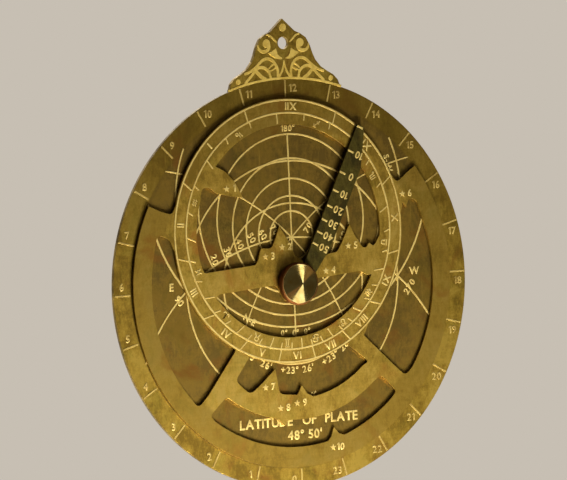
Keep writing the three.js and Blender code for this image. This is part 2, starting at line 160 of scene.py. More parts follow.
def add_flag(verts, faces):
    """The short stroke at the top of a figure 1, which the plain font leaves out."""
    left = min(v[0] for v in verts)
    outline = [(left + 0.03, 0.70), (left - 0.15, 0.59), (left - 0.15, 0.49), (left + 0.03, 0.58)]
    first = len(verts)
    verts += [(x, y, z) for z in (-LETTER_DEPTH, LETTER_DEPTH + 0.02) for x, y in outline]
    faces += [(first, first + 1, first + 2, first + 3), (first + 7, first + 6, first + 5, first + 4)]
    faces += [(first + i, first + (i + 1) % 4, first + 4 + (i + 1) % 4, first + 4 + i) for i in range(4)]


def glyph(letter):
    """A letter's raised mesh at size 1 from Blender's own font: (vertices, faces, left, right)."""
    if letter not in GLYPHS:
        curve = bpy.data.curves.new("letter", "FONT")
        curve.body = letter
        curve.size = 1
        curve.resolution_u = 3
        curve.offset = 0.012
        curve.extrude = LETTER_DEPTH
        curve.bevel_depth = 0.018
        curve.bevel_resolution = 0
        holder = bpy.data.objects.new("letter", curve)
        bpy.context.scene.collection.objects.link(holder)
        bpy.context.view_layer.update()
        shown = holder.evaluated_get(bpy.context.evaluated_depsgraph_get())
        mesh = bpy.data.meshes.new_from_object(shown)
        verts = [tuple(v.co) for v in mesh.vertices]
        faces = [tuple(f.vertices) for f in mesh.polygons]
        if letter == "1":
            add_flag(verts, faces)
        xs = [v[0] for v in verts]
        GLYPHS[letter] = (verts, faces, min(xs), max(xs))
        bpy.data.objects.remove(holder)
        bpy.data.meshes.remove(mesh)
        bpy.data.curves.remove(curve)
    return GLYPHS[letter]


def letter_width(letter):
    _, _, left, right = glyph(letter)
    return right - left


def text_width(text, size):
    widths = [SPACE if letter == " " else letter_width(letter) + LETTER_GAP for letter in text]
    return (sum(widths) - LETTER_GAP) * size


def letter_places(text, size, track):
    """Each letter of a line, with the distance of its middle from the middle of the line."""
    cursor = -(text_width(text, size) + track * (len(text) - 1)) / 2
    for letter in text:
        if letter == " ":
            cursor += SPACE * size + track
            continue
        width = letter_width(letter) * size
        yield letter, cursor + width / 2
        cursor += width + LETTER_GAP * size + track


class Relief:
    """Raised work on one flat face, gathered into a single mesh.

    A drawing call's rise lifts its tops a few microns above the others, because tops that cross in
    one plane would flicker.
    """

    def __init__(self, level, outward, turn=0.0):
        self.level = level
        self.outward = outward  # -1 for the front, +1 for the back
        self.turn = turn
        self.verts = []
        self.faces = []

    def lift(self, x, y, height):
        """A drawing's point and its height above the face, in millimetres, as a place in the frame."""
        x, y = turned((x, y), self.turn)
        across = x if self.outward < 0 else -x
        level = self.level + self.outward * height * MM
        return Vector((CENTRE.x + across * MM, level, CENTRE.z + y * MM))

    def add(self, points, faces):
        first = len(self.verts)
        self.verts += [self.lift(*point) for point in points]
        self.faces += [[first + i for i in face] for face in faces]

    def strip(self, points, width=LINE_WIDTH, closed=False, rise=0.0):
        """A raised line with sloping sides; width may be a list, one value a point."""
        height = RELIEF + rise
        count = len(points)
        widths = width if isinstance(width, (list, tuple)) else [width] * count
        section = []
        for i, (x, y) in enumerate(points):
            before = points[i - 1] if i > 0 or closed else points[i]
            after = points[(i + 1) % count] if i < count - 1 or closed else points[i]
            dx, dy = after[0] - before[0], after[1] - before[1]
            length = math.hypot(dx, dy) or 1.0
            nx, ny = -dy / length, dx / length
            half = widths[i] / 2
            top = max(half - SHOULDER, half * NARROWEST_TOP)
            section += [(x + nx * half, y + ny * half, -ROOT), (x + nx * top, y + ny * top, height),
                        (x - nx * top, y - ny * top, height), (x - nx * half, y - ny * half, -ROOT)]
        faces = []
        for i in range(count if closed else count - 1):
            a, b = 4 * i, 4 * ((i + 1) % count)
            faces += [(a + k, b + k, b + k + 1, a + k + 1) for k in range(3)]
            faces.append((a + 3, b + 3, b, a))
        if not closed:
            faces += [(3, 2, 1, 0), tuple(4 * (count - 1) + k for k in range(4))]
        self.add(section, faces)

    def shape(self, outline, rise=0.0):
        """A raised flat patch of any simple outline, with sloping sides."""
        height = RELIEF + rise
        count = len(outline)
        inner = []
        for i, (x, y) in enumerate(outline):
            ax, ay = outline[i - 1]
            bx, by = outline[(i + 1) % count]
            length = math.hypot(bx - ax, by - ay) or 1.0
            inner.append((x - (by - ay) / length * SHOULDER, y + (bx - ax) / length * SHOULDER))
        points = [(x, y, -ROOT) for x, y in outline] + [(x, y, height) for x, y in inner]
        faces = [(i, (i + 1) % count, count + (i + 1) % count, count + i) for i in range(count)]
        faces.append(tuple(range(count, 2 * count)))
        faces.append(tuple(reversed(range(count))))
        self.add(points, faces)

    def dot(self, x, y, radius, rise=0.0):
        self.shape(arc(radius, 0, 360, x, y, 20)[:-1], rise)

    def letter(self, letter, x, y, size, angle, rise=0.0):
        """One letter, the middle of its width and of a capital's height at (x, y)."""
        verts, faces, left, right = glyph(letter)
        middle = (left + right) / 2
        top = RELIEF + rise
        points = []
        for vx, vy, vz in verts:
            px, py = turned(((vx - middle) * size, (vy - LETTER_MIDDLE) * size), angle)
            level = top if vz > LETTER_FACE else top - LETTER_SHOULDER if vz > 0 else -ROOT
            points.append((x + px, y + py, level))
        self.add(points, faces)

    def text(self, text, x, y, cap, angle=0.0, track=0.0, rise=0.0):
        """A straight line of text centred on (x, y), with the given height of capitals."""
        size = cap / CAP_PER_SIZE
        for letter, offset in letter_places(text, size, track):
            px, py = turned((offset, 0), angle)
            self.letter(letter, x + px, y + py, size, angle, rise)

    def arc_text(self, text, radius, middle, cap, cx=0.0, cy=0.0, inward=False, track=0.0, rise=0.0):
        """Text round an arc, centred on the angle `middle`; inward puts the tops towards the centre."""
        size = cap / CAP_PER_SIZE
        sense = 1 if inward else -1
        for letter, offset in letter_places(text, size, track):
            angle = middle + sense * math.degrees(offset / radius)
            px, py = polar(radius, angle, cx, cy)
            self.letter(letter, px, py, size, angle + sense * 90, rise)

    def finish(self, name, body, material):
        mesh = closed_mesh(name, [tuple(v) for v in self.verts], self.faces)
        piece(name, mesh, body, material)


def closed_mesh(name, verts, faces):
    """A mesh with its doubled points merged and its faces turned outwards."""
    mesh = bpy.data.meshes.new(name)
    mesh.from_pydata(verts, [], faces)
    work = bmesh.new()
    work.from_mesh(mesh)
    bmesh.ops.remove_doubles(work, verts=work.verts, dist=MERGE_DISTANCE * MM)
    bmesh.ops.recalc_face_normals(work, faces=work.faces)
    work.to_mesh(mesh)
    work.free()
    return mesh


def piece(name, mesh, body, material, angle=40):
    """Links a mesh as a piece that rides on a body; edges sharper than the angle stay sharp."""
    made = bpy.data.objects.new(name, mesh)
    bpy.context.scene.collection.objects.link(made)
    mesh.materials.append(material)
    mesh.shade_smooth()
    mesh.set_sharp_from_angle(angle=math.radians(angle))
    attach(made, body)
    return made


# ======== Materials ========
class Nodes:
    """Short names for building a node material."""

    def __init__(self, name):
        self.material = bpy.data.materials.new(name)
        self.material.use_nodes = True
        self.tree = self.material.node_tree
        self.shader = self.tree.nodes["Principled BSDF"]

    def make(self, kind, **values):
        node = self.tree.nodes.new(kind)
        for key, value in values.items():
            setattr(node, key, value)
        return node

    def link(self, source, target):
        self.tree.links.new(source, target)

    def place(self, scale=(1, 1, 1), turn=0.0):
        """Object coordinates in the frame, turned about Y and stretched."""
        where = self.make("ShaderNodeTexCoord")
        mapping = self.make("ShaderNodeMapping")
        mapping.inputs["Rotation"].default_value = (0, math.radians(turn), 0)
        mapping.inputs["Scale"].default_value = scale
        self.link(where.outputs["Object"], mapping.inputs["Vector"])
        return mapping.outputs["Vector"]

    def noise(self, vector, scale, detail=4.0, roughness=0.55, distortion=0.0):
        node = self.make("ShaderNodeTexNoise")
        node.inputs["Scale"].default_value = scale
        node.inputs["Detail"].default_value = detail
        node.inputs["Roughness"].default_value = roughness
        node.inputs["Distortion"].default_value = distortion
        self.link(vector, node.inputs["Vector"])
        return node.outputs["Fac"]

    def ramp(self, value, *stops):
        node = self.make("ShaderNodeValToRGB")
        while len(node.color_ramp.elements) < len(stops):
            node.color_ramp.elements.new(0.5)
        for element, (place, colour) in zip(node.color_ramp.elements, stops):
            element.position = place
            element.color = (*colour, 1) if isinstance(colour, tuple) else (colour, colour, colour, 1)
        self.link(value, node.inputs["Fac"])
        return node.outputs["Color"]

    def mix(self, factor, a, b, blend="MIX"):
        """Two colours mixed; 0, 6, 7 and 2 are where the node keeps its colour sockets."""
        node = self.make("ShaderNodeMix", data_type="RGBA", blend_type=blend)
        for value, socket in ((factor, node.inputs[0]), (a, node.inputs[6]), (b, node.inputs[7])):
            self.put(value, socket)
        return node.outputs[2]

    def maths(self, operation, a, b=0.0):
        node = self.make("ShaderNodeMath", operation=operation)
        self.put(a, node.inputs[0])
        self.put(b, node.inputs[1])
        return node.outputs[0]

    def put(self, value, socket):
        """Joins a node's output to a socket, or sets the socket to a colour or a number."""
        if isinstance(value, bpy.types.NodeSocket):
            self.link(value, socket)
        elif isinstance(value, tuple):
            socket.default_value = (*value, 1)
        else:
            socket.default_value = value

    def bump(self, height, strength, distance, below=None):
        node = self.make("ShaderNodeBump")
        node.inputs["Strength"].default_value = strength
        node.inputs["Distance"].default_value = distance
        self.link(height, node.inputs["Height"])
        if below is not None:
            self.link(below, node.inputs["Normal"])
        return node.outputs["Normal"]


def srgb(red, green, blue):
    """A colour given as 0-255 screen values, in linear light."""
    def linear(value):
        value /= 255
        return value / 12.92 if value <= 0.04045 else ((value + 0.055) / 1.055) ** 2.4
    return (linear(red), linear(green), linear(blue))


def from_axis(n):
    """Distance from the centre pin's axis, in metres, as a node value."""
    split = n.make("ShaderNodeSeparateXYZ")
    n.link(n.place(), split.inputs[0])
    dx = n.maths("SUBTRACT", split.outputs["X"], CENTRE.x)
    dz = n.maths("SUBTRACT", split.outputs["Z"], CENTRE.z)
    return n.maths("SQRT", n.maths("ADD", n.maths("MULTIPLY", dx, dx), n.maths("MULTIPLY", dz, dz)))


def upwards(n):
    """0 below the middle of the disc, rising to 1 at its top, as a node value."""
    split = n.make("ShaderNodeSeparateXYZ")
    n.link(n.place(), split.inputs[0])
    rise = n.maths("SUBTRACT", split.outputs["Z"], CENTRE.z)
    return n.ramp(n.maths("DIVIDE", rise, LIMB * MM), (0.0, 0.0), (0.75, 1.0))


CLOUD_SCALE = 95.0  # noise scale of the tarnish clouds
OLIVE = (0.66, 0.76, 0.62)  # how much of red, green and blue the green-brown tarnish lets through
ETCHED_TONES = ((0.42, 0.62), (0.50, 1.0), (0.60, 1.34))  # places on the tone, brightness of the ground
DIRT_AND_SHADE_IN_CORNERS = 0.45  # how far painted shade, with some dirt, darkens the corners
SHEET_METALLIC = 0.8
SHEET_ROUGHNESS = (0.34, 0.52)  # of rubbed brass and of tarnished brass
RAISED_METALLIC = 0.55
RAISED_ROUGHNESS = (0.36, 0.52)
RING_PITCH = 9000.0  # turning marks on the lathe work, in radians a metre
RIM_STAIN = srgb(92, 54, 24)
RIM_ROUGHNESS = 0.62


def aged_brass(name, light, middle, dark, stain, brush_turn=20.0, etched_within=None, etched=None,
               darker_ring=None, ring_darkness=0.45, painted_shade_towards_top=False):
    """Old sheet brass: cloudy tarnish, fine mottle, faint brushing, red-brown stains, and painted shade
    with some dirt in the corners.

    etched_within is the radius, in millimetres, inside which the face is etched back to the colour
    `etched`; darker_ring is the (inner, outer) radius of a ring that is darker by the share
    `ring_darkness`, and with painted_shade_towards_top only towards its top, which is painted shade.
    """
    n = Nodes(name)
    flat = n.place()
    # the tone: broad clouds broken up by finer textures
    clouds = n.noise(flat, CLOUD_SCALE, 6, 0.62, 0.8)
    broad = n.noise(flat, CLOUD_SCALE * 0.3, 4, 0.55, 0.5)
    mottle = n.noise(n.place((1, 1, 0.45), 8.0), 620, 4, 0.7, 0.4)
    speckle = n.noise(flat, 1900, 3, 0.7)
    streaks = n.noise(n.place((50, 50, 1300), brush_turn), 1.0, 4, 0.6)
    scratches = n.noise(n.place((1500, 1500, 30), brush_turn + 38), 1.0, 2, 0.5)
    tone = n.maths("ADD", n.maths("MULTIPLY", clouds, 0.55), n.maths("MULTIPLY", broad, 0.45))
    for texture, share in ((mottle, 0.34), (speckle, 0.18), (streaks, 0.10)):
        tone = n.maths("ADD", tone, n.maths("MULTIPLY", n.maths("SUBTRACT", texture, 0.5), share))
    colour = n.ramp(tone, (0.38, dark), (0.50, middle), (0.62, light))
    if etched_within:
        inside = n.ramp(n.maths("DIVIDE", from_axis(n), etched_within * MM), (0.995, 1.0), (1.0, 0.0))
        stops = [(place, tuple(value * depth for value in etched)) for place, depth in ETCHED_TONES]
        colour = n.mix(inside, colour, n.ramp(tone, *stops))
    # green-brown and red-brown patches
    verdigris = n.ramp(n.noise(flat, CLOUD_SCALE * 0.8, 5, 0.7, 1.0), (0.50, 0.0), (0.66, 0.55))
    colour = n.mix(verdigris, colour, OLIVE, "MULTIPLY")
    stains = n.ramp(n.noise(flat, CLOUD_SCALE * 0.45, 5, 0.6, 1.2), (0.55, 0.0), (0.68, 0.7))
    colour = n.mix(stains, colour, stain)
    # a darker ring; where it darkens only towards the top, that darkening is painted shade
    if darker_ring:
        inner, outer = darker_ring
        edge = inner / outer
        distance = n.maths("DIVIDE", from_axis(n), outer * MM)
        share = n.ramp(distance, (edge - 0.02, 0.0), (edge, ring_darkness), (0.999, ring_darkness), (1.0, 0.0))
        if painted_shade_towards_top:
            share = n.maths("MULTIPLY", share, upwards(n))
        colour = n.mix(share, colour, tuple(value * 0.8 for value in dark))
    # thin bright scratches, and painted shade with some dirt in the corners, darkest where ambient
    # occlusion finds walls close by
    thin = n.ramp(scratches, (0.70, 0.0), (0.74, 0.35))
    colour = n.mix(thin, colour, light)
    shade = n.make("ShaderNodeAmbientOcclusion", samples=8)
    shade.inputs["Distance"].default_value = 0.9 * MM
    corner_dirt_and_shade = n.ramp(shade.outputs["AO"], (0.50, DIRT_AND_SHADE_IN_CORNERS), (0.97, 0.0))
    colour = n.mix(corner_dirt_and_shade, colour, tuple(value * 0.45 for value in dark))
    n.link(colour, n.shader.inputs["Base Color"])
    n.shader.inputs["Metallic"].default_value = SHEET_METALLIC
    rubbed, tarnished = SHEET_ROUGHNESS
    n.link(n.ramp(tone, (0.36, tarnished), (0.64, rubbed)), n.shader.inputs["Roughness"])
    fine = n.bump(streaks, 0.08, 0.00003)
    fine = n.bump(speckle, 0.14, 0.00003, fine)
    fine = n.bump(mottle, 0.12, 0.00008, fine)
    n.link(n.bump(clouds, 0.16, 0.0004, fine), n.shader.inputs["Normal"])
    return n.material


def raised_brass(name, light, dull):
    """The tops of the raised work, rubbed bright, with small dull patches."""
    n = Nodes(name)
    flat = n.place()
    rub = n.noise(flat, 190, 5, 0.65, 0.4)
    grain = n.noise(flat, 3200, 2, 0.6)
    wear = n.maths("ADD", n.maths("MULTIPLY", rub, 0.8), n.maths("MULTIPLY", grain, 0.2))
    n.link(n.ramp(wear, (0.36, dull), (0.54, light)), n.shader.inputs["Base Color"])
    n.shader.inputs["Metallic"].default_value = RAISED_METALLIC
    rubbed, tarnished = RAISED_ROUGHNESS
    n.link(n.ramp(wear, (0.3, tarnished), (0.6, rubbed)), n.shader.inputs["Roughness"])
    n.link(n.bump(grain, 0.12, 0.00004), n.shader.inputs["Normal"])
    return n.material


def turned_brass(name, light, dark, rough, stained_rim=None):
    """Lathe-turned brass: fine rings round the axis and fingered tarnish.

    stained_rim is the outer radius, in millimetres, of a piece whose rim is tarnished red-brown over
    the last tenth of that radius.
    """
    n = Nodes(name)
    radius = from_axis(n)
    ring = n.maths("SINE", n.maths("MULTIPLY", radius, RING_PITCH))
    smear = n.noise(n.place(), 240, 4, 0.6, 0.5)
    colour = n.ramp(smear, (0.35, dark), (0.62, light))
    roughness = n.ramp(smear, (0.3, rough + 0.12), (0.65, rough))
    if stained_rim:
        edge = n.maths("ADD", n.maths("DIVIDE", radius, stained_rim * MM),
                       n.maths("MULTIPLY", n.maths("SUBTRACT", smear, 0.5), 0.12))
        stain = n.ramp(edge, (0.90, 0.0), (0.93, 1.0))
        colour = n.mix(stain, colour, RIM_STAIN)
        roughness = n.mix(stain, roughness, (RIM_ROUGHNESS,) * 3)
    n.link(colour, n.shader.inputs["Base Color"])
    n.shader.inputs["Metallic"].default_value = 1.0
    n.link(roughness, n.shader.inputs["Roughness"])
    n.link(n.bump(ring, 0.05, 0.00002), n.shader.inputs["Normal"])
    return n.material


def spring_steel(name):
    """Grey steel with a fine grain."""
    n = Nodes(name)
    grain = n.noise(n.place(), 900, 4, 0.6)
    colour = n.ramp(grain, (0.35, srgb(96, 92, 84)), (0.65, srgb(150, 146, 138)))
    n.link(colour, n.shader.inputs["Base Color"])
    n.shader.inputs["Metallic"].default_value = 1.0
    n.link(n.ramp(grain, (0.3, 0.42), (0.7, 0.28)), n.shader.inputs["Roughness"])
    return n.material


# the limb darkens towards its top: painted shade
PLATE_BRASS = aged_brass("plate_brass", srgb(188, 156, 64), srgb(152, 123, 41), srgb(104, 80, 16),
                         srgb(122, 78, 24), etched_within=CAP, etched=srgb(124, 98, 36),
                         darker_ring=(CAP, LIMB + 0.6), ring_darkness=0.6, painted_shade_towards_top=True)
RETE_BRASS = aged_brass("rete_brass", srgb(200, 166, 76), srgb(170, 138, 52), srgb(124, 97, 27),
                        srgb(154, 100, 34), darker_ring=(62.0, 75.0))
RULE_BRASS = aged_brass("rule_brass", srgb(116, 103, 44), srgb(88, 77, 28), srgb(54, 46, 11),
                        srgb(80, 54, 18), brush_turn=62.0)
LINE_BRASS = raised_brass("raised_line_brass", srgb(214, 187, 107), srgb(184, 154, 78))
WORN_LINE_BRASS = raised_brass("worn_line_brass", srgb(192, 164, 86), srgb(138, 110, 46))
ORNAMENT_BRASS = raised_brass("ornament_brass", srgb(230, 198, 98), srgb(190, 157, 64))
KNOB_BRASS = turned_brass("knob_brass", srgb(220, 202, 132), srgb(190, 160, 84), 0.07, KNOB_RADIUS)
TURNED_BRASS = turned_brass("turned_brass", srgb(190, 156, 82), srgb(138, 108, 50), 0.36)
SPRING_STEEL = spring_steel("spring_steel")

# each carried-over CAD node's material, and how far its edges are broken, in millimetres
NODE_LOOKS = {
    "base_plate": (PLATE_BRASS, 0.07),
    "rete": (RETE_BRASS, 0.07),
    "rule": (RULE_BRASS, 0.10),
    "alidade": (RULE_BRASS, 0.10),
    "centre_bush": (TURNED_BRASS, 0.08),
    "centre_pin": (TURNED_BRASS, 0.15),
    "alidade_washer": (TURNED_BRASS, 0.08),
    "head_washer": (TURNED_BRASS, 0.08),
    "knob_washer": (TURNED_BRASS, 0.08),
    "spring_washer": (SPRING_STEEL, 0.05),
}
NODE_LOOKS.update({f"sight_vane_{number}": (RETE_BRASS, 0.12) for number in (1, 2)})
NODE_LOOKS.update({f"vane_rivet_{number}": (TURNED_BRASS, 0.08) for number in (1, 2, 3, 4)})


def dress_nodes():
    """Gives each CAD node its material, joins the triangles of its flat faces and breaks its edges."""
    for name, (material, edge) in NODE_LOOKS.items():
        node = NODES[name]
        node.data.materials.clear()
        node.data.materials.append(material)
        merge = node.modifiers.new("weld", "WELD")
        merge.merge_threshold = 0.002 * MM
        flatten = node.modifiers.new("flat_faces", "DECIMATE")
        flatten.decimate_type = "DISSOLVE"
        flatten.angle_limit = math.radians(0.5)
        bevel = node.modifiers.new("broken_edges", "BEVEL")
        bevel.width = edge * MM
        bevel.segments = 2
        bevel.limit_method = "ANGLE"
        bevel.angle_limit = math.radians(35)
        node.data.shade_smooth()
        normals = node.modifiers.new("normals", "WEIGHTED_NORMAL")
        normals.keep_sharp = True
        normals.weight = 80


# ======== The front of the base plate ========
def almucantar(altitude):
    """Centre height and radius of the circle of one altitude, in radians, in the projection."""
    below = math.sin(LATITUDE) + math.sin(altitude)
    return EQUATOR * math.cos(LATITUDE) / below, EQUATOR * math.cos(altitude) / below


HORIZON_CENTRE, HORIZON_RADIUS = almucantar(0.0)
MERIDIAN_TOP = 58.0
TROPIC = EQUATOR * math.tan((math.pi / 2 - OBLIQUITY) / 2)
# the azimuth circles through east and west, and the pair halfway to the meridian
VERTICAL_CENTRE = -EQUATOR * math.tan(LATITUDE)
VERTICAL_RADIUS = EQUATOR / math.cos(LATITUDE)
SKEW_CENTRE = EQUATOR / math.cos(LATITUDE)
SKEW_RADIUS = SKEW_CENTRE * math.sqrt(2)


def within_cap(point):
    return math.hypot(*point) < CAP


def above_horizon(point):
    return within_cap(point) and math.hypot(point[0], point[1] - HORIZON_CENTRE) < HORIZON_RADIUS


def draw_projection(face):
    """Altitude circles, azimuth circles, the equator and the tropic for the plate's latitude."""
    for altitude in range(0, 80, 10):
        height, radius = almucantar(math.radians(altitude))
        for run in clipped(arc(radius, -90, 270, 0, height, 1.0), within_cap):
            face.strip(run, LINE_WIDTH + (0.12 if altitude == 0 else 0.0))
    for run in clipped(arc(VERTICAL_RADIUS, -90, 270, 0, VERTICAL_CENTRE, 0.8), within_cap):
        face.strip(run, LINE_WIDTH, rise=0.004)
    for side in (-1, 1):
        ring = arc(SKEW_RADIUS, -180, 180, side * SKEW_CENTRE, VERTICAL_CENTRE, 0.5)
        for run in clipped(ring, above_horizon):
            face.strip(run, FINE_WIDTH, rise=0.008)
    face.strip([(0, HORIZON_CENTRE - HORIZON_RADIUS), (0, MERIDIAN_TOP)], LINE_WIDTH, rise=0.012)
    face.strip(arc(EQUATOR, 0, 360, step=2)[:-1], LINE_WIDTH, closed=True, rise=0.016)
    face.strip(arc(TROPIC, 0, 360, step=3)[:-1], LINE_WIDTH, closed=True, rise=0.018)


# where the left-hand altitude numbers stand
ALTITUDE_LABELS = {20: (-35.0, 11.5), 30: (-29.0, 14.0), 40: (-23.5, 17.0),
                   50: (-18.0, 19.0), 60: (-13.0, 20.0), 70: (-7.6, 21.5)}
# bearings and compass points: text, x, y, height of its capitals, turn
BEARINGS = [
    ("180°", 0.4, 60.8, 2.4, 0),
    ("E", -54.6, 2.0, 3.0, 0),
    ("W", 56.0, 1.6, 3.0, 0),
    ("90", -51.4, -3.4, 2.7, -52),
    ("270", 53.4, -4.6, 2.7, 52),
    ("S-W", 45.9, 44.8, 2.5, -75),
    ("N-E", -20.5, -12.8, 2.5, -34),
]
# the first line of the inscription, whose words stand unevenly
INSCRIPTION = [("LATITUDE", -15.1), ("OF", 4.5), ("PLATE", 19.2)]


def label_projection(face):
    """Altitude numbers either side of the meridian, bearings, compass points and the latitude."""
    for altitude, (x, y) in ALTITUDE_LABELS.items():
        lean = 74 - (altitude - 20) * 0.4
        for side in (-1, 1):
            face.text(str(altitude), -side * x, y, 2.7, side * lean, rise=TEXT_RISE)
    for text, x, y, cap, turn in BEARINGS:
        face.text(text, x, y, cap, turn, rise=TEXT_RISE)
    face.arc_text("0°  0°  0°", HORIZON_RADIUS - 2.6, -90, 2.3, 0, HORIZON_CENTRE, inward=True,
                  rise=TEXT_RISE)
    face.arc_text("+23° 26'   +23° 26'   +23° 26'", 33.9, -90, 2.7, inward=True, track=0.12, rise=TEXT_RISE)
    face.arc_text("0°", 44.6, -81, 2.2, inward=True, rise=TEXT_RISE)
    for word, x in INSCRIPTION:
        face.text(word, x, -53.6, 3.65, track=-0.25, rise=TEXT_RISE)
    face.text("48° 50'", 2.2, -59.3, 3.5, rise=TEXT_RISE)


HOUR_TICK_END = LIMB - 0.4
HOUR_NUMBERS = 76.5  # radius of the circle of numbers
HOUR_NUMBER_SIZE = 2.9
HOUR_NUMBER_LAG = 2.6  # how far a number stands after its mark, in degrees


def hour_angle(hour):
    """Where an hour stands on the limb, noon at the top."""
    return 90 - (hour - 12) * 15


def draw_hour_lines(face):
    for hour in range(24):
        angle = hour_angle(hour)
        face.strip([polar(HOUR_TICK_START, angle), polar(HOUR_TICK_END, angle)], LINE_WIDTH)


def draw_hour_numbers(face):
    for hour in range(24):
        x, y = polar(HOUR_NUMBERS, hour_angle(hour) - HOUR_NUMBER_LAG)
        face.text(str(hour), x, y, HOUR_NUMBER_SIZE)


# ---- the throne's ornament, drawn for the right half and mirrored ----
THRONE_REACH = 18.6  # half the length of the line at the throne's foot, in degrees


def mirrored(points):
    return [(-x, y) for x, y in points]


def both(face, points, width, rise=0.0):
    """A tapering stroke and its mirror image; width is (start, middle, end)."""
    curve = smooth(points)
    count = len(curve) - 1
    start, middle, end = width
    widths = []
    for i in range(count + 1):
        t = i / count
        widths.append((1 - t) ** 2 * start + 2 * t * (1 - t) * middle + t ** 2 * end)
    face.strip(curve, widths, rise=rise)
    face.strip(mirrored(curve), widths, rise=rise)


def draw_throne(face):
    face.dot(0, 100.1, 1.65)
    for side in (-1, 1):
        face.dot(side * 7.6, 94.0, 1.75)
        face.dot(*polar(82.3, 90 + side * 14.8), 1.15)
    # volutes: a hook above each dot and a thick tail that curls under it
    both(face, [(2.9, 94.3), (4.3, 95.6), (5.8, 96.9), (7.5, 97.5)], (0.7, 1.1, 0.7))
    tail = [(11.5, 93.7), (11.2, 92.2), (10.2, 91.2), (8.7, 90.9), (7.3, 91.4), (6.4, 92.5), (6.3, 93.8)]
    both(face, tail, (0.5, 2.4, 0.9), rise=0.004)
    # leaves below the hanging hole
    leaf = [(0.7, 87.8), (2.4, 87.75), (4.0, 88.2), (5.8, 89.2), (7.2, 90.3), (5.2, 91.0), (3.4, 92.1),
            (3.0, 91.0), (2.7, 89.9), (1.9, 88.9), (0.8, 88.4)]
    face.shape(leaf, rise=0.008)
    face.shape(list(reversed(mirrored(leaf))), rise=0.008)
    # outer arches, from the foot of the throne over the top and down to the limb
    outer = [(18.1, 82.5), (16.2, 83.0), (14.4, 83.9), (12.7, 85.1), (11.2, 86.4), (9.6, 87.6),
             (7.8, 88.15), (6.0, 87.8), (4.5, 86.6), (3.4, 84.8), (2.95, 82.8), (3.1, 80.3)]
    both(face, outer, (1.1, 1.4, 1.2), rise=0.002)
    # inner arches, which cross them, and a short branch of each
    inner = [(18.0, 78.8), (15.2, 81.4), (13.0, 83.7), (11.2, 84.8), (9.3, 84.7), (7.8, 83.8), (6.8, 82.5),
             (6.2, 80.2)]
    both(face, inner, (1.1, 1.5, 1.1), rise=0.006)
    both(face, [(13.4, 84.2), (11.8, 82.4), (10.2, 81.0), (8.4, 80.2)], (1.3, 1.9, 1.2), rise=0.010)
    # short bars between the arches
    both(face, [(7.0, 84.2), (5.8, 85.3), (4.5, 86.0), (3.8, 86.1)], (0.6, 1.0, 0.7), rise=0.012)
    both(face, [(6.7, 83.3), (5.3, 83.7), (4.0, 84.4), (3.4, 85.0)], (0.6, 1.0, 0.7), rise=0.014)
    # spear in the middle, and the line along the limb's edge
    spear = [(0.1, 87.4), (0.35, 85.4), (0.85, 83.6), (1.6, 82.2), (2.8, 80.4)]
    both(face, spear, (0.45, 1.1, 1.0), rise=0.005)
    face.strip(arc(LIMB + 0.35, 90 - THRONE_REACH, 90 + THRONE_REACH), 1.0, rise=0.016)


def make_plate_relief():
    drawings = (
        ("plate_projection_lines", draw_projection, LINE_BRASS),
        ("plate_projection_numbers", label_projection, LINE_BRASS),
        ("limb_hour_lines", draw_hour_lines, WORN_LINE_BRASS),
        ("limb_hour_numbers", draw_hour_numbers, WORN_LINE_BRASS),
        ("throne_ornament", draw_throne, ORNAMENT_BRASS),
    )
    for name, draw, brass in drawings:
        face = Relief(PLATE_FRONT, -1)
        draw(face)
        face.finish(name, "plate_body", brass)


# ======== The rete's calendar and zodiac band ========
# the sun's place on the ecliptic, in degrees, at the start of each month
MONTH_STARTS = {"I": 280.5, "II": 312.0, "III": 340.3, "IV": 11.2, "V": 40.6, "VI": 70.5,
                "VII": 99.3, "VIII": 128.9, "IX": 158.6, "X": 188.0, "XI": 218.8, "XII": 249.0}
MONTH_RADIUS = (BAND_OUTER + BAND_MIDDLE) / 2
MONTH_SIZE = 2.9
SIGN_RADIUS = (BAND_MIDDLE + BAND_INNER) / 2 - 0.2
SIGN_SIZE = 3.0
SIGN_WIDTH = 0.58
SIGN_BORDER = BAND_INNER + 0.5  # the inner end of the marks between the signs
TEN_DEGREE_MARK = BAND_MIDDLE - 2.6


def band_point(longitude, radius):
    """Where the line from the pole towards a point of the ecliptic meets a circle of the band."""
    spin = math.radians(longitude)
    ascension = math.atan2(math.cos(OBLIQUITY) * math.sin(spin), math.cos(spin))
    angle = math.pi + ascension
    aside = ECLIPTIC_OFFSET * math.cos(angle)
    reach = ECLIPTIC_OFFSET * math.sin(angle) + math.sqrt(radius ** 2 - aside ** 2)
    return (reach * math.cos(angle), reach * math.sin(angle))


def ring_angle(point):
    return math.degrees(math.atan2(point[1] - ECLIPTIC_OFFSET, point[0]))


# ---- the zodiac's signs, as pen strokes in a box about one unit high ----
def ram():
    left = arc(0.22, 200, -10, -0.22, 0.26, 25)
    return [left + [(0, -0.5)], mirrored(left) + [(0, -0.5)]]


def bull():
    head = arc(0.28, 0, 360, 0, -0.2, 25)
    horns = [(-0.42, 0.5)] + arc(0.3, 190, 350, 0, 0.4, 25) + [(0.42, 0.5)]
    return [head, horns]


def twins():
    beams = [[(-0.35, y), (0.35, y)] for y in (0.5, -0.5)]
    posts = [[(x, 0.5), (x, -0.5)] for x in (-0.15, 0.15)]
    return beams + posts


def crab():
    upper = arc(0.14, 0, 360, -0.26, 0.14, 30)
    sweep = arc(0.5, 160, 30, 0.06, -0.04, 25)
    lower = [(-x, -y) for x, y in upper]
    return [upper, sweep, lower, [(-x, -y) for x, y in sweep]]


def lion():
    head = arc(0.15, 0, 360, -0.26, -0.22, 30)
    tail = arc(0.26, 200, -40, 0.0, 0.2, 25) + [(0.12, -0.42), (0.34, -0.42)]
    return [head, tail]


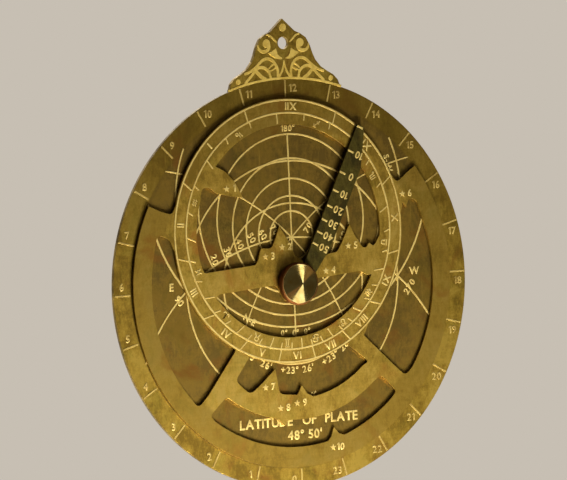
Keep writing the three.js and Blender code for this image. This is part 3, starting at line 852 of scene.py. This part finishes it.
def virgin():
    first = [(-0.4, 0.4), (-0.4, -0.45)]
    second = [(-0.4, 0.3), (-0.15, 0.4), (-0.15, -0.45)]
    third = [(-0.15, 0.3), (0.1, 0.4), (0.1, -0.3), (0.36, -0.5)]
    loop = arc(0.2, 120, -130, 0.16, 0.02, 30)
    return [first, second, third, loop]


def scales():
    foot = [(-0.4, -0.4), (0.4, -0.4)]
    bow = arc(0.24, 220, -40, 0, 0.16, 25)
    return [foot, [(-0.4, -0.12), (-0.16, -0.12)] + bow + [(0.16, -0.12), (0.4, -0.12)]]


def scorpion():
    first = [(-0.4, 0.4), (-0.4, -0.4)]
    second = [(-0.4, 0.3), (-0.12, 0.4), (-0.12, -0.4)]
    third = [(-0.12, 0.3), (0.14, 0.4), (0.14, -0.3), (0.42, -0.3)]
    barb = [(0.28, -0.14), (0.42, -0.3), (0.28, -0.46)]
    return [first, second, third, barb]


def archer():
    shaft = [(-0.4, -0.45), (0.4, 0.45)]
    barb = [(0.05, 0.45), (0.4, 0.45), (0.4, 0.1)]
    nock = [(-0.3, 0.0), (0.02, -0.32)]
    return [shaft, barb, nock]


def goat():
    return [[(-0.4, 0.4), (-0.2, -0.3), (0.0, 0.4), (0.08, -0.2)], arc(0.18, 150, -190, 0.24, -0.2, 30)]


def water():
    wave = [(-0.42, 0.0), (-0.26, 0.22), (-0.1, 0.0), (0.06, 0.22), (0.22, 0.0), (0.4, 0.22)]
    return [wave, [(x, y - 0.34) for x, y in wave]]


def fish():
    left = arc(0.5, 55, -55, -0.62, 0, 20)
    return [left, mirrored(left), [(-0.34, 0), (0.34, 0)]]


SIGNS = [ram, bull, twins, crab, lion, virgin, scales, scorpion, archer, goat, water, fish]


def draw_sign(face, strokes, x, y, size, angle):
    for stroke in strokes:
        placed = [turned((px * size, py * size), angle) for px, py in stroke]
        face.strip([(x + px, y + py) for px, py in placed], SIGN_WIDTH, rise=0.01)


def draw_band(face):
    """The band's circles, its months and their numerals, the marks of the ecliptic and the signs."""
    for radius in (BAND_OUTER, BAND_MIDDLE):
        face.strip(arc(radius, 0, 360, 0, ECLIPTIC_OFFSET, 1.5)[:-1], LINE_WIDTH, closed=True)
    starts = list(MONTH_STARTS.values())
    for index, (numeral, start) in enumerate(MONTH_STARTS.items()):
        face.strip([band_point(start, BAND_OUTER), band_point(start, BAND_MIDDLE)], FINE_WIDTH, rise=0.006)
        following = starts[(index + 1) % 12]
        middle = start + ((following - start) % 360) / 2
        angle = ring_angle(band_point(middle, MONTH_RADIUS))
        face.arc_text(numeral, MONTH_RADIUS, angle, MONTH_SIZE, 0, ECLIPTIC_OFFSET, inward=True, rise=0.004)
    for degree in range(0, 360, 10):
        inner = SIGN_BORDER if degree % 30 == 0 else TEN_DEGREE_MARK
        face.strip([band_point(degree, BAND_MIDDLE), band_point(degree, inner)], FINE_WIDTH, rise=0.006)
    for index, sign in enumerate(SIGNS):
        x, y = band_point(index * 30 + 15, SIGN_RADIUS)
        draw_sign(face, sign(), x, y, SIGN_SIZE, ring_angle((x, y)) + 90)


# where the labels of stars 1 to 10 stand
STAR_LABELS = [(-24.0, 40.6), (-2.2, 14.8), (-10.2, 12.2), (16.4, 2.9), (27.8, 11.2),
               (55.4, 28.2), (-16.6, -38.3), (-10.9, -47.4), (-3.2, -46.6), (10.8, -66.4)]
STAR_POINTS = 5
STAR_RADIUS = 1.55
STAR_SHIFT = -1.9  # from a label's place to its star
NUMBER_SHIFT = 1.6  # and to its number
NUMBER_SIZE = 2.7


def star(x, y, radius, angle):
    """Outline of a pointed star."""
    outline = []
    for i in range(2 * STAR_POINTS):
        reach = radius if i % 2 == 0 else radius * 0.45
        outline.append(polar(reach, angle + 90 + 180 * i / STAR_POINTS, x, y))
    return outline


def make_rete_relief():
    band = Relief(RETE_FRONT, -1, RETE_TURN)
    draw_band(band)
    band.finish("rete_zodiac_band", "rete_body", LINE_BRASS)
    labels = Relief(RETE_FRONT, -1, RETE_TURN)
    for number, (x, y) in enumerate(STAR_LABELS, start=1):
        labels.shape(star(x + STAR_SHIFT, y, STAR_RADIUS, -RETE_TURN))
        labels.text(str(number), x + NUMBER_SHIFT, y, NUMBER_SIZE, -RETE_TURN)
    labels.finish("rete_star_labels", "rete_body", LINE_BRASS)


# ======== The rule's declination scale ========
DECLINATION_END = 67.7  # the outermost mark, kept on the rule
DECLINATION_MARK = (0.15, 2.9)  # from and to, across the rule
DECLINATION_NUMBERS = 5.7
DECLINATION_SIZE = 2.9


def make_rule_relief():
    face = Relief(RULE_FRONT, -1, RULE_TURN)
    near, far = DECLINATION_MARK
    for declination in range(-20, 60, 10):
        radius = min(EQUATOR * math.tan(math.radians(90 - declination) / 2), DECLINATION_END)
        face.strip([(near, radius), (far, radius)], LINE_WIDTH)
        if declination > -20:
            face.text(str(abs(declination)), DECLINATION_NUMBERS, radius, DECLINATION_SIZE, 180)
    face.finish("rule_declination_scale", "rule_body", LINE_BRASS)


# ======== The knob ========
KNOB_BORE = (2.3, 3.5)  # radius and depth of the blind hole for the pin, in millimetres
KNOB_RECESS = (6.9, 1.8)  # radius and depth of the hollow that holds the washers
KNOB_SHOULDER = 2.35  # height at which the straight side has turned into the cone
KNOB_RIM = 0.38  # how far in from the side the cone starts
KNOB_DISH = 0.08  # how hollow the cone is
KNOB_CONE_RINGS = 24
KNOB_SEGMENTS = 160


def knob_profile():
    """The knob's section as (radius, height above its foot), from its blind hole round to the cone."""
    bore, bore_depth = KNOB_BORE
    recess, recess_depth = KNOB_RECESS
    hollow = [(bore, bore_depth), (bore, recess_depth), (recess, recess_depth), (recess, 0)]
    side = [(KNOB_RADIUS - 0.25, 0), (KNOB_RADIUS, 0.14), (KNOB_RADIUS, 1.93)]
    rim = [(KNOB_RADIUS - 0.04, 2.12), (KNOB_RADIUS - 0.21, 2.25)]
    cone = []
    for i in range(1, KNOB_CONE_RINGS):
        share = i / KNOB_CONE_RINGS
        dish = KNOB_DISH * math.sin(math.pi * share) * (1 - share)
        rise = (KNOB_HEIGHT - KNOB_SHOULDER) * share - dish
        cone.append(((KNOB_RADIUS - KNOB_RIM) * (1 - share), KNOB_SHOULDER + rise))
    return hollow + side + rim + cone


def make_knob():
    """The clamping knob: straight side, rounded rim, slightly dished cone and hollow back."""
    profile = knob_profile()
    count = KNOB_SEGMENTS

    def at(reach, level, angle=0.0):
        x, z = polar(reach * MM, angle)
        return (CENTRE.x + x, KNOB_HIGH.y - level * MM, CENTRE.z + z)

    verts = [at(reach, level, 360 * i / count) for reach, level in profile for i in range(count)]
    verts += [at(0, KNOB_HEIGHT), at(0, KNOB_BORE[1])]
    faces = []
    for ring in range(len(profile) - 1):
        for i in range(count):
            a, b = ring * count + i, ring * count + (i + 1) % count
            faces.append((a, b, b + count, a + count))
    tip, hole_end = len(verts) - 2, len(verts) - 1
    last = (len(profile) - 1) * count
    for i in range(count):
        faces.append((last + i, last + (i + 1) % count, tip))
        faces.append(((i + 1) % count, i, hole_end))
    mesh = closed_mesh("clamp_knob", verts, faces)
    knob = piece("clamp_knob", mesh, "knob_body", KNOB_BRASS, 50)
    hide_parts("knob")


# ======== The back ========
DEGREES_OUTER = 78.6  # the outer circle of the degree scale
DEGREES_INNER = 73.4  # its inner circle, where the ten-degree marks start
FIVE_DEGREE_MARK = 76.2  # where the marks between them start
DEGREE_NUMBERS = 69.8
FIELD = 66.0  # the circle round the middle of the back
INNER_CIRCLE = 40.0
SQUARE = 34.0  # half the width of the shadow square
SQUARE_BAND = 4.5  # the width of its divided edge
SQUARE_PARTS = 12


def draw_degree_scale(face):
    """Degrees of altitude, from 0 at both sides to 90 at the top and the bottom."""
    for radius in (DEGREES_OUTER, DEGREES_INNER, FIELD, INNER_CIRCLE):
        face.strip(arc(radius, 0, 360, step=2)[:-1], FINE_WIDTH, closed=True)
    for degree in range(0, 360, 5):
        start = DEGREES_INNER if degree % 10 == 0 else FIVE_DEGREE_MARK
        face.strip([polar(start, degree), polar(DEGREES_OUTER, degree)], THIN_WIDTH, rise=0.004)
    for quarter in range(4):
        for altitude in range(10, 90, 10):
            turn = altitude if quarter % 2 == 0 else 90 - altitude
            face.arc_text(str(altitude), DEGREE_NUMBERS, quarter * 90 + turn, 2.8, rise=0.004)
    face.strip([(-FIELD, 0), (FIELD, 0)], FINE_WIDTH, rise=0.008)
    face.strip([(0, -FIELD), (0, FIELD)], FINE_WIDTH, rise=0.008)


def draw_shadow_square(face):
    """The square in the lower half, its edge divided into twelfths and every fourth one numbered."""
    for edge in (SQUARE, SQUARE - SQUARE_BAND):
        face.strip([(-edge, 0), (-edge, -edge), (edge, -edge), (edge, 0)], FINE_WIDTH, rise=0.012)
    for part in range(1, SQUARE_PARTS):
        reach = SQUARE * part / SQUARE_PARTS
        inside = SQUARE - SQUARE_BAND
        for side in (-1, 1):
            face.strip([(side * reach, -SQUARE), (side * reach, -inside)], THIN_WIDTH, rise=0.014)
            face.strip([(side * SQUARE, -reach), (side * inside, -reach)], THIN_WIDTH, rise=0.014)
        if part % 4 == 0:
            for side in (-1, 1):
                face.text(str(part), side * (reach - 1.2), -SQUARE + 6.6, 2.2)


def draw_hour_arcs(face):
    """Arcs for the hours in the upper half."""
    for hour in range(1, 6):
        radius = FIELD * math.sin(math.radians(hour * 15))
        face.strip(arc(radius, 2, 178, step=2), THIN_WIDTH, rise=0.002)


def make_back_relief():
    face = Relief(PLATE_BACK, 1)
    draw_degree_scale(face)
    draw_shadow_square(face)
    draw_hour_arcs(face)
    face.finish("back_scales", "plate_body", LINE_BRASS)


ALIDADE_SCALE = (14, 48)  # where the alidade's scale starts and ends on each arm
ALIDADE_MARKS = range(16, 50, 4)


def make_alidade_relief():
    """A divided line on each arm, with every other mark longer."""
    face = Relief(ALIDADE_BACK, 1, -ALIDADE_TURN)
    start, end = ALIDADE_SCALE
    for side in (-1, 1):
        face.strip([(side * start, 0), (side * end, 0)], THIN_WIDTH)
        for mark in ALIDADE_MARKS:
            face.strip([(side * mark, 0), (side * mark, 1.8 if mark % 8 else 2.8)], 0.35)
    face.finish("alidade_scale", "alidade_body", LINE_BRASS)


# ======== Studio ========
VIEW_AZIMUTH = -30.6
VIEW_ELEVATION = 2.5
VIEW_ROLL = -2.5
VIEW_DISTANCE = 1.6375
LENS = 266.3
AIM_OFFSET = Vector((-3.7, 0.0, 17.2)) * MM  # from the disc's centre, on the plate's front
BACKGROUND = srgb(199, 191, 179)
FLOOR_RADIUS = 6.0
FLOOR_DROP = 0.9  # metres below the disc's centre
AMBIENT = (1.0, 0.86, 0.62)
AMBIENT_STRENGTH = 0.07


def direction(azimuth, elevation):
    """Unit vector towards a place round the object; azimuth 0 is in front, positive to the right."""
    a, e = math.radians(azimuth), math.radians(elevation)
    return Vector((math.sin(a) * math.cos(e), -math.cos(a) * math.cos(e), math.sin(e)))


def make_camera():
    data = bpy.data.cameras.new("photo_camera")
    data.lens = LENS
    data.sensor_width = 36
    data.clip_start = 0.05
    data.clip_end = 60
    camera = bpy.data.objects.new("photo_camera", data)
    bpy.context.scene.collection.objects.link(camera)
    aim = Vector((CENTRE.x, PLATE_FRONT, CENTRE.z)) + AIM_OFFSET
    back = direction(VIEW_AZIMUTH, VIEW_ELEVATION)
    camera.location = aim + back * VIEW_DISTANCE
    roll = Matrix.Rotation(math.radians(VIEW_ROLL), 4, "Z").to_quaternion()
    camera.rotation_mode = "QUATERNION"
    camera.rotation_quaternion = (-back).to_track_quat("-Z", "Y") @ roll
    bpy.context.scene.camera = camera


def soft_light(name, azimuth, elevation, distance, size, watts, colour=(1.0, 0.97, 0.92)):
    """A round area light that faces the disc's centre; distance and size are in metres."""
    data = bpy.data.lights.new(name, "AREA")
    data.shape = "DISK"
    data.size = size
    data.energy = watts
    data.color = colour
    light = bpy.data.objects.new(name, data)
    bpy.context.scene.collection.objects.link(light)
    way = direction(azimuth, elevation)
    light.location = CENTRE + way * distance
    light.rotation_mode = "QUATERNION"
    light.rotation_quaternion = way.to_track_quat("Z", "Y")
    light.visible_camera = False


def make_floor():
    """A pale floor well below, as bright as the backdrop, that casts no light back on the brass."""
    n = Nodes("floor_paint")
    lighter = tuple(value * 1.02 for value in BACKGROUND)
    colour = n.ramp(n.noise(n.place(), 3.0, 3), (0.3, BACKGROUND), (0.7, lighter))
    n.link(colour, n.shader.inputs["Emission Color"])
    n.shader.inputs["Emission Strength"].default_value = 1.0
    n.shader.inputs["Base Color"].default_value = (0, 0, 0, 1)
    n.shader.inputs["Specular IOR Level"].default_value = 0.0
    mesh = bpy.data.meshes.new("studio_floor")
    work = bmesh.new()
    bmesh.ops.create_circle(work, cap_ends=True, radius=FLOOR_RADIUS, segments=96,
                            matrix=Matrix.Translation((CENTRE.x, CENTRE.y, CENTRE.z - FLOOR_DROP)))
    work.to_mesh(mesh)
    work.free()
    mesh.materials.append(n.material)
    floor = bpy.data.objects.new("studio_floor", mesh)
    bpy.context.scene.collection.objects.link(floor)
    floor.visible_glossy = False
    floor.visible_diffuse = False


def make_world():
    """The plain backdrop that the camera sees, and a weak warm light for everything else."""
    world = bpy.data.worlds.new("studio")
    bpy.context.scene.world = world
    world.use_nodes = True
    tree = world.node_tree
    shown = tree.nodes["Background"]
    shown.inputs["Color"].default_value = (*BACKGROUND, 1)
    shown.inputs["Strength"].default_value = 1.0
    ambient = tree.nodes.new("ShaderNodeBackground")
    ambient.inputs["Color"].default_value = (*AMBIENT, 1)
    ambient.inputs["Strength"].default_value = AMBIENT_STRENGTH
    path = tree.nodes.new("ShaderNodeLightPath")
    chosen = tree.nodes.new("ShaderNodeMixShader")
    tree.links.new(path.outputs["Is Camera Ray"], chosen.inputs[0])
    tree.links.new(ambient.outputs[0], chosen.inputs[1])
    tree.links.new(shown.outputs[0], chosen.inputs[2])
    tree.links.new(chosen.outputs[0], tree.nodes["World Output"].inputs["Surface"])


def make_lights():
    """A key light from below, fills, weak warm glints, and lights for the edge and the back."""
    soft_light("key_below", 11, -57, 0.42, 0.17, 4.9, (1.0, 0.98, 0.94))
    soft_light("lower_left", -14, -43, 0.34, 0.14, 0.58)
    soft_light("lower_right", 30, -35, 0.9, 0.44, 0.78)
    soft_light("upper_right", 39.0, 29, 1.3, 0.42, 1.0)
    soft_light("warm_glint_right", 52, 16, 1.2, 0.36, 0.06, (1.0, 0.58, 0.28))
    soft_light("warm_glint_left", 9, -23, 1.2, 0.26, 0.02, (1.0, 0.42, 0.22))
    soft_light("edge_left", -140, -2, 1.0, 0.6, 1.2)
    soft_light("edge_low", -172, -27, 1.4, 1.0, 3.5)
    soft_light("back_light", 172, 22, 1.4, 1.1, 8.0)
    soft_light("back_right", 138, -8, 1.5, 0.9, 5.0)


def show_colours_plainly():
    """No film curve, so that the backdrop shows as the colour that it is given."""
    bpy.context.scene.view_settings.view_transform = "Standard"


make_camera()
dress_nodes()
make_plate_relief()
make_rete_relief()
make_rule_relief()
make_knob()
make_back_relief()
make_alidade_relief()
make_floor()
make_world()
make_lights()
show_colours_plainly()
